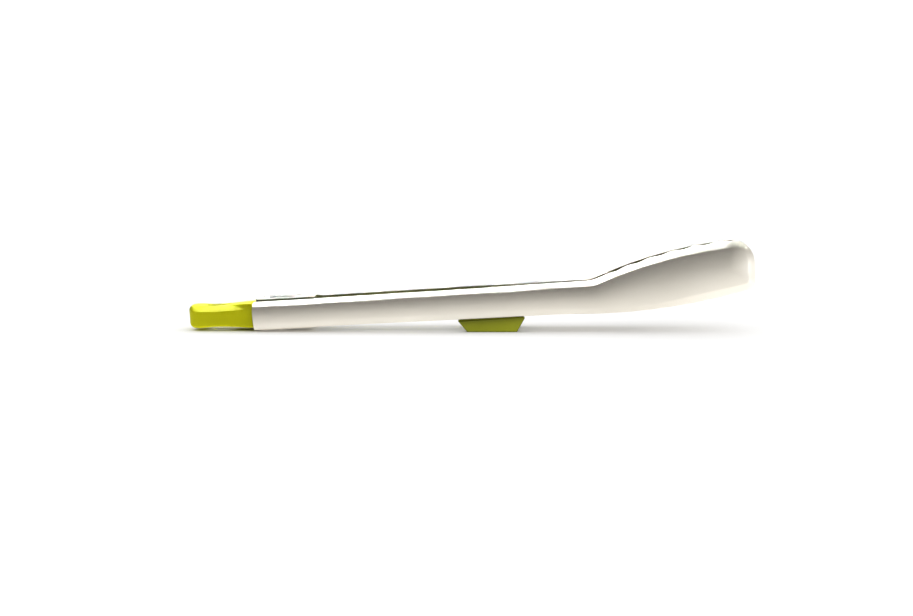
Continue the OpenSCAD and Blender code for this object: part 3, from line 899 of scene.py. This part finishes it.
def make_arm(which, side, joggle, recess):
    """An arm with its bosses, bores and lock slot. Outer ears have a joggle, inner ones a recess."""
    arm = arm_shell(which + "_arm_moulding", side, joggle, recess)
    bosses = [lathe("boss", plug(BOSS_R, 0, BOSS_LENGTH), (x, side * BOSS_DEPTH, 0), 40, side)
              for x in SCREW_X]
    combine(arm, bosses, "UNION")
    cutters = ear_cutters(side, HINGE_HALF + joggle - recess)
    cutters += [lathe("screw_bore", plug(SCREW_R, 0, SCREW_BORE), (x, side * (BOSS_DEPTH - PAST), 0), 24,
                      side) for x in SCREW_X]
    cutters += [lathe("peg_bore", plug(PEG_R, -PAST, WALL + PAST), (x, side * PEG_DEPTH, lower_edge(x)), 24)
                for x in PEG_X]
    if joggle:
        cutters.append(lathe("recess", plug(CLIP_RECESS_R, -PAST, CLIP_RECESS), (0, 0, -OUTER_FACE)))
    combine(arm, cutters, "DIFFERENCE")
    finish_piece(arm, None, which + "_half", [which + "_arm"], 32)


# ---- Feet ----
SOLE_R = 0.8
FOOT_EDGE = 0.6
# The foot's upper corners are nicked, and its top meets the arm with a hair's gap
NICK = 1.0
NICK_R = 0.25
FOOT_GAP = 0.06
CLIP_HALF = 16
CLIP_T = 1.5
# (radius, height) of the barb above the clip, at the top of a peg
BARB = ((1.6, 0), (1.6, 0.3), (1.25, 0.8), (0, 0.9))


def ground(x):
    """Height of the surface under the tongs, in their own frame."""
    lowest = (Vector((0, 0, 0)) - PIVOT).z / MM
    return (lowest - x * AHEAD.z) / UP.z


def foot_outline():
    """Outline of a foot, seen from the front, as it stands on the ground below the arm's edge."""
    near, far = FOOT_X - FOOT_TOP / 2, FOOT_X + FOOT_TOP / 2
    heel, toe = FOOT_X - FOOT_BASE / 2, FOOT_X + FOOT_BASE / 2
    corners = [
        (heel, ground(heel)),
        (toe, ground(toe)),
        (far, lower_edge(far) - NICK),
        (far - NICK, lower_edge(far) - FOOT_GAP),
        (near + NICK, lower_edge(near) - FOOT_GAP),
        (near, lower_edge(near) - NICK),
    ]
    return rounded(corners, [SOLE_R, SOLE_R, NICK_R, NICK_R, NICK_R, NICK_R])


def make_foot(which, side):
    """A foot pad, with two pegs that reach through the arm and its clip."""
    foot = slab("foot_body", foot_outline(), FOOT_NEAR, FOOT_NEAR + FOOT_DEPTH, FOOT_EDGE,
                lambda u, v, level: (u, side * level, v))
    clip_top = -handle_half(FOOT_X - CLIP_HALF) + WALL + SLIDE_GAP + CLIP_T
    pegs = []
    for x in PEG_X:
        low = lower_edge(x) - WALL
        profile = [(0, low), (PEG_R, low), (PEG_R, clip_top)]
        profile += [(radius, clip_top + height) for radius, height in BARB]
        pegs.append(lathe("peg", profile, (x, side * PEG_DEPTH, 0), 32))
    combine(foot, pegs, "UNION")
    foot.name = which + "_foot_pad"
    finish_piece(foot, FOOT_SHADED_SILICONE, which + "_half", [which + "_foot"], 40)


# ---- Pull loop ----
LOOP_LENGTH = 40
LOOP_WIDTH = 20
LOOP_HEIGHT = 14.4
LOOP_GAP = 0.3
LOOP_NEAR = HINGE_X - LOOP_GAP
LOOP_FAR = LOOP_NEAR - LOOP_LENGTH
SHOULDER_HALF = 7.8
SHOULDER_LENGTH = 12
LOOP_WAIST = 0.6
LOOP_LIFT = 0.9
LOOP_END_R = 8
LOOP_NEAR_R = 0.9
LOOP_CROWN = 0.5
HOLE_X = LOOP_FAR + 18
HOLE_LENGTH = 15
HOLE_WIDTH = 8
HOLE_EDGE = 1.2
# Room in the loop for the tongue's end: length, half width and half height
CORE_LENGTH = 10
CORE_HALF = (6, 4.5)
CORE_EDGE = 0.01
# Depth, width and flatness of the loop's edges: a broad bevel above its sides, round elsewhere
TOP_EDGE = (3.0, 4.4, 0.46)
LOWER_EDGE = (1.6, 1.6, 0.12)
END_EDGE = (3.0, 3.2, 0.12)
NEAR_EDGE = (0.7, 0.7, 0.46)
EDGE_GROWTH_X = (LOOP_NEAR - 0.3, LOOP_NEAR - 6)
# Shares of the edge and of the flat face at which points lie
EDGE_PLACES = (0, 0.06, 0.15, 0.3, 0.5, 0.7, 0.85, 1)
FLAT_PLACES = (0.33, 0.67)
LOOP_POINTS = 180
HOLE_EDGE_STEPS = 7
LEAST_FACE = 0.2


def loop_middle(x):
    """Height of the loop's middle, which rises towards its far end."""
    return LOOP_LIFT * (LOOP_NEAR - x) / LOOP_LENGTH


def loop_half(x):
    shoulder = mix(LOOP_HEIGHT / 2, SHOULDER_HALF, ease(along(LOOP_NEAR - SHOULDER_LENGTH, LOOP_NEAR, x)))
    waist_at = along(LOOP_FAR, LOOP_NEAR - SHOULDER_LENGTH / 2, x)
    return shoulder - LOOP_WAIST * (1 - math.cos(2 * math.pi * waist_at)) / 2


def loop_edge(x, sign):
    """Depth, width and flatness of the edge, above (sign 1) or below (sign -1)."""
    end = ease(along(LOOP_FAR + LOOP_END_R, LOOP_FAR, x))
    growth = ease(along(*EDGE_GROWTH_X, x))
    side = TOP_EDGE if sign > 0 else LOWER_EDGE
    return [mix(near, mix(far, tip, end), growth) for near, far, tip in zip(NEAR_EDGE, side, END_EDGE)]


def even(outline, count):
    """A closed outline walked in even steps."""
    points = np.array(outline + [outline[0]], float)
    walked = np.concatenate([[0], np.cumsum(np.linalg.norm(np.diff(points, axis=0), axis=1))])
    places = np.linspace(0, walked[-1], count, endpoint=False)
    return np.stack([np.interp(places, walked, points[:, i]) for i in (0, 1)], axis=1)


def loop_outlines():
    """The loop's outline and its hanging hole's, in even steps."""
    half = LOOP_WIDTH / 2
    corners = [(LOOP_NEAR, half), (LOOP_FAR, half), (LOOP_FAR, -half), (LOOP_NEAR, -half)]
    outer = rounded(corners, [LOOP_NEAR_R, LOOP_END_R, LOOP_END_R, LOOP_NEAR_R], 16)
    hole_r = HOLE_WIDTH / 2
    right_x = HOLE_X + HOLE_LENGTH / 2 - hole_r
    right = [(right_x + hole_r * math.cos(a), hole_r * math.sin(a)) for a in quarter(10)]
    upper = right + [(2 * HOLE_X - x, y) for x, y in reversed(right)]
    hole = upper + [(x, -y) for x, y in reversed(upper)][:-1]
    return even([(LOOP_NEAR, 0)] + outer, LOOP_POINTS), even(hole, LOOP_POINTS)


def loop_section(depth, width, flatness, span):
    """(way in, level, drop) from the rim's middle over the face to the middle of the hole's wall.

    The level is 0 at the middle and 1 at the face, from which the drop is measured.
    """
    section = [(0, t, 0) for t in (0, 0.5)]
    section += [(curve(0, width * flatness, width, t), 1, curve(-depth, -depth * flatness, 0, t))
                for t in EDGE_PLACES]
    section += [(mix(width, span - HOLE_EDGE, t), 1, 0) for t in FLAT_PLACES]
    section += [(span - HOLE_EDGE * (1 - math.sin(a)), 1, -HOLE_EDGE * (1 - math.cos(a)))
                for a in quarter(HOLE_EDGE_STEPS)]
    return section + [(span, t, 0) for t in (0.5, 0)]


def make_loop():
    """The pull loop, with its hanging hole."""
    outer, hole = loop_outlines()
    along_rim = np.roll(outer, -1, axis=0) - np.roll(outer, 1, axis=0)
    points = []
    for (px, py), (qx, qy), (tx, ty) in zip(outer, hole, along_rim):
        span = math.hypot(qx - px, qy - py)
        # The edge is as wide square to the outline as it should be, however the rows lean
        reach = abs((qx - px) * ty - (qy - py) * tx) / math.hypot(tx, ty)
        for sign in (1, -1):
            depth, width, flatness = loop_edge(px, sign)
            width = min(width * span / reach, span - HOLE_EDGE - LEAST_FACE)
            section = loop_section(depth, width, flatness, span)
            for q, level, drop in section if sign > 0 else section[-2:0:-1]:
                x, y = mix(px, qx, q / span), mix(py, qy, q / span)
                face = loop_half(x) - LOOP_CROWN * (y / (LOOP_WIDTH / 2)) ** 2
                height = face + drop if level == 1 else level * (face - (depth if q == 0 else HOLE_EDGE))
                points.append((x, y, loop_middle(x) + sign * height))
    rows = len(points) // LOOP_POINTS
    loop = new_mesh("pull_loop_rubber", points, grid_faces(LOOP_POINTS, rows, True, True))
    back, front = LOOP_NEAR - CORE_LENGTH, LOOP_NEAR + 2 * PAST
    core_half, core_height = CORE_HALF
    core = slab("core", [(back, -core_half), (front, -core_half), (front, core_half), (back, core_half)],
                -core_height, core_height, CORE_EDGE, lambda u, v, level: (u, v, level))
    combine(loop, [core], "DIFFERENCE")
    finish_piece(loop, LOOP_SILICONE, "lock", ["pull_loop"], 40)


# ---- Pins, washers and spring ----
COIL_R = 4.1
WIRE_R = 0.6
COIL_PITCH = 2.08 * WIRE_R
SPRING_TURNS = 3
LEG_ANGLE = 12
LEG_LENGTH = 32
COIL_STEPS = 48
LEG_STEPS = 8
SPOOL_HALF = 3.2
WASHER_T = 0.9
WASHER_Z = 4.6 + WASHER_T / 2
WASHER_R = 5.5
BEARING_R = 2.55
FLANGE_R = 5.4
FLANGE_T = 0.8
SPOOL_R = 3.15
EDGE = 0.15
FINE_EDGE = 0.1
PIN_HEAD_R = 4.2
PIN_HEAD_EDGE = 0.3
PIN_HEAD_DOME = 0.8
RETAINER_T = 0.85
# (radius, height) of the retainer's lower face, from the pin to its rounded edge
RETAINER_FACE = ((PIN_R, 0), (PIN_R + 0.3, 0.15), (PIN_HEAD_R - 0.2, 0.1), (PIN_HEAD_R, 0.3))
PIN_CHAMFER = 0.3
LOCK_CHAMFER = 0.25


def make_pivot_pin():
    """The pin with its domed head, on the outer ear's upper face."""
    shoulder = OUTER_FACE + PIN_HEAD_EDGE
    dome = [(PIN_HEAD_R * math.cos(a), shoulder + PIN_HEAD_DOME * math.sin(a)) for a in quarter(8)][:-1]
    profile = [(0, -PIN_END), (PIN_R - PIN_CHAMFER, -PIN_END), (PIN_R, PIN_CHAMFER - PIN_END),
               (PIN_R, OUTER_FACE), (PIN_HEAD_R - FINE_EDGE, OUTER_FACE),
               (PIN_HEAD_R, OUTER_FACE + FINE_EDGE)]
    pin = lathe("pivot_pin_turned", profile + dome + [(0, shoulder + PIN_HEAD_DOME)], steps=64)
    finish_piece(pin, PIN_STEEL, "pivot", ["pivot_pin"])


def make_retainer():
    """The washer pushed on the pin's lower end."""
    profile = RETAINER_FACE + ((PIN_HEAD_R, RETAINER_T), (PIN_R, RETAINER_T))
    clip = lathe("pivot_retainer_clip", profile, (0, 0, -PIN_END))
    finish_piece(clip, PIN_STEEL, "pivot", ["pivot_retainer"])


def make_washers():
    """The pair of washers between the lock tongue and the ears."""
    low = -WASHER_T / 2
    lower = [(BEARING_R, low + FINE_EDGE), (BEARING_R + FINE_EDGE, low), (WASHER_R - EDGE, low),
             (WASHER_R, low + EDGE)]
    rings = [lathe("washer", mirrored(lower), (0, 0, z)) for z in (WASHER_Z, -WASHER_Z)]
    washers = join("pivot_washers_pair", rings)
    finish_piece(washers, BEARING_NYLON, "pivot", ["pivot_washers"])


def make_spool():
    """The flanged spool inside the spring's coil."""
    low, high = -SPOOL_HALF, FLANGE_T - SPOOL_HALF
    lower = [(BEARING_R, low), (FLANGE_R - EDGE, low), (FLANGE_R, low + EDGE), (FLANGE_R, high - EDGE),
             (FLANGE_R - EDGE, high), (SPOOL_R, high)]
    spool = lathe("spring_spool_turned", mirrored(lower))
    finish_piece(spool, BEARING_NYLON, "pivot", ["spring_spool"])


def make_lock_pin():
    """The cross pin that runs in the lock slots."""
    lower = [(0, -PIN_END), (LOCK_R - LOCK_CHAMFER, -PIN_END), (LOCK_R, LOCK_CHAMFER - PIN_END)]
    lock = lathe("lock_pin_turned", mirrored(lower))
    finish_piece(lock, PIN_STEEL, "lock", ["lock_pin"])


def coil_point(t):
    """A place along the spring's coil, from its front leg at 0 to its back leg at 1."""
    sweep = 360 * (SPRING_TURNS - 1) + 180 - 2 * LEG_ANGLE
    a = math.radians(-90 - LEG_ANGLE - sweep * t)
    rise = COIL_PITCH * sweep / 360 / 2
    return Vector((COIL_R * math.cos(a), COIL_R * math.sin(a), mix(-rise, rise, t)))


def make_spring():
    """The coil, which stays with the pivot, and two legs, which follow their arms."""
    count = COIL_STEPS * SPRING_TURNS
    coil = tube("torsion_spring_coil", [coil_point(k / count) for k in range(count + 1)], WIRE_R)
    finish_piece(coil, SPRING_STEEL, "pivot", ["torsion_spring"], 60)
    for which, side, t in (("front", -1, 0), ("back", 1, 1)):
        a = math.radians(LEG_ANGLE)
        way = Vector((math.cos(a), side * math.sin(a), 0))
        path = [coil_point(t) + way * LEG_LENGTH * k / LEG_STEPS for k in range(LEG_STEPS + 1)]
        leg = tube(which + "_spring_leg", path, WIRE_R)
        finish_piece(leg, SPRING_STEEL, which + "_half", (), 60)


# ---- Screws ----
SCREW_HEAD_R = 2.2
SCREW_HEAD = 1.2
SCREW_FACE_R = 1.7
SCREW_BEVEL = 0.35
# The cross in a screw's head: half its length and width, its depth, and the rounding of its edges
CROSS_LENGTH = 1.2
CROSS_WIDTH = 0.25
CROSS_DEPTH = 0.7
CROSS_EDGE = 0.02


def make_screws(which, side):
    """The pair of cross-head screws that hold a cover."""
    profile = [(0, 0), (SCREW_FACE_R, 0), (SCREW_HEAD_R, SCREW_BEVEL), (SCREW_HEAD_R, SCREW_HEAD),
               (SCREW_R, SCREW_HEAD), (SCREW_R, SCREW_LENGTH), (0, SCREW_LENGTH)]
    screws = []
    for x in SCREW_X:
        screw = lathe("screw", profile, (x, side * SCREW_FACE, 0), 40, side)
        bits = [slab("bit", [(x - u, -v), (x + u, -v), (x + u, v), (x - u, v)], -PAST, CROSS_DEPTH,
                     CROSS_EDGE, lambda p, q, level: (p, side * (SCREW_FACE + level), q))
                for u, v in ((CROSS_LENGTH, CROSS_WIDTH), (CROSS_WIDTH, CROSS_LENGTH))]
        screws.append(combine(screw, bits, "DIFFERENCE"))
    pair = join(which + "_cover_screws_pair", screws)
    finish_piece(pair, SCREW_STEEL, which + "_half", [which + "_cover_screws"])


# ---- All pieces ----
for which, side, joggle, recess in (("front", -1, 0, EAR_RECESS), ("back", 1, EAR_JOGGLE, 0)):
    make_arm(which, side, joggle, recess)
    make_foot(which, side)
    make_screws(which, side)
    softened(which + "_cover", 0.3, COVER_PLASTIC)
    softened(which + "_weight", 0.35, WEIGHT_STEEL)
    softened(which + "_foot_clip", 0.2, BEARING_NYLON)
    softened(which + "_spring_seat", 0.3, BEARING_NYLON)
softened("lock_tongue", 0.2, LOCK_STEEL)
make_loop()
make_pivot_pin()
make_retainer()
make_washers()
make_spool()
make_lock_pin()
make_spring()


# ---- Floor, light and camera ----
FLOOR_HALF = 30


def make_floor():
    """A wide matt floor, in metres."""
    corners = [(FLOOR_HALF * x, FLOOR_HALF * y, 0) for x, y in ((-1, -1), (1, -1), (1, 1), (-1, 1))]
    mesh = bpy.data.meshes.new("floor")
    mesh.from_pydata(corners, [], [(0, 1, 2, 3)])
    floor = add_object("floor", mesh)
    look = Look("floor_paint", Roughness=0.9, Specular_IOR_Level=0.0)
    look.colour(look.blend(look.noise(400, 2), (0.62, 0.62, 0.62), (0.64, 0.64, 0.64)))
    mesh.materials.append(look.material)
    return floor


def make_world():
    """A dim room, with a white background behind everything that the camera sees."""
    world = bpy.data.worlds.new("studio")
    bpy.context.scene.world = world
    world.use_nodes = True
    nodes, links = world.node_tree.nodes, world.node_tree.links
    room = nodes["Background"]
    room.inputs["Color"].default_value = (1, 0.99, 0.97, 1)
    room.inputs["Strength"].default_value = 0.03
    white = nodes.new("ShaderNodeBackground")
    white.inputs["Color"].default_value = (1, 1, 1, 1)
    white.inputs["Strength"].default_value = 1.1
    path = nodes.new("ShaderNodeLightPath")
    choose = nodes.new("ShaderNodeMixShader")
    links.new(path.outputs["Is Camera Ray"], choose.inputs["Fac"])
    links.new(room.outputs["Background"], choose.inputs[1])
    links.new(white.outputs["Background"], choose.inputs[2])
    links.new(choose.outputs["Shader"], nodes["World Output"].inputs["Surface"])


def make_sun(name, strength, way, softness, lit, blockers=None):
    """A light from the direction way, for the lit group only. Its softness is an angle in degrees."""
    light = bpy.data.lights.new(name, "SUN")
    light.energy = strength
    light.angle = math.radians(softness)
    lamp = add_object(name, light)
    lamp.rotation_euler = Vector(way).to_track_quat("Z", "Y").to_euler()
    lamp.light_linking.receiver_collection = lit
    if blockers:
        lamp.light_linking.blocker_collection = blockers


def group(name, items):
    """A collection for light linking."""
    collection = bpy.data.collections.new(name)
    for item in items:
        collection.objects.link(item)
    return collection


CAMERA_AIM = Vector((PIVOT.x, 0, 0)) + Vector((113.55, -12, 14.6)) * MM
CAMERA_HEIGHT = 105 * MM
CAMERA_DISTANCE = 764.4 * MM
CAMERA_LENS = 50
SENSOR_WIDTH = 36


def light_set(floor):
    """A key light from above and behind, a dome of light for the floor, and fills.

    The feet have a light of their own, and rubber pieces have none from below.
    """
    pieces = [item for item in bpy.context.scene.objects if item.type == "MESH" and item != floor]
    feet = [item for item in pieces if "foot_pad" in item.name]
    upper = [item for item in pieces if item not in feet]
    hard = [item for item in upper if "pull_loop" not in item.name]
    everything = group("pieces", pieces)
    make_sun("key", 8.6, (-0.22, 0.5, 0.84), 12, everything)
    make_sun("floor_light", 5.4, (0, 0, 1), 135, group("floor_only", [floor]))
    make_sun("under_fill", 1.0, (0, -0.34, -0.94), 20, group("hard_pieces", hard), everything)
    make_sun("side_fill", 2.45, (1, 0, -0.1), 16, group("all_but_feet", upper), everything)
    make_sun("foot_fill", 13, (0.05, -0.26, 0.965), 18, group("feet", feet))


def make_camera():
    """The photo's view: from the front and a little above."""
    camera = bpy.data.cameras.new("camera")
    camera.lens = CAMERA_LENS
    camera.sensor_width = SENSOR_WIDTH
    camera.clip_start = 0.01
    camera.clip_end = 100
    holder = add_object("camera", camera)
    drop = CAMERA_HEIGHT - CAMERA_AIM.z
    back = math.sqrt(CAMERA_DISTANCE ** 2 - drop ** 2)
    holder.location = CAMERA_AIM + Vector((0, -back, drop))
    holder.rotation_euler = (CAMERA_AIM - holder.location).to_track_quat("-Z", "Y").to_euler()
    bpy.context.scene.camera = holder


make_world()
light_set(make_floor())
make_camera()
bpy.context.scene.view_settings.view_transform = "Standard"
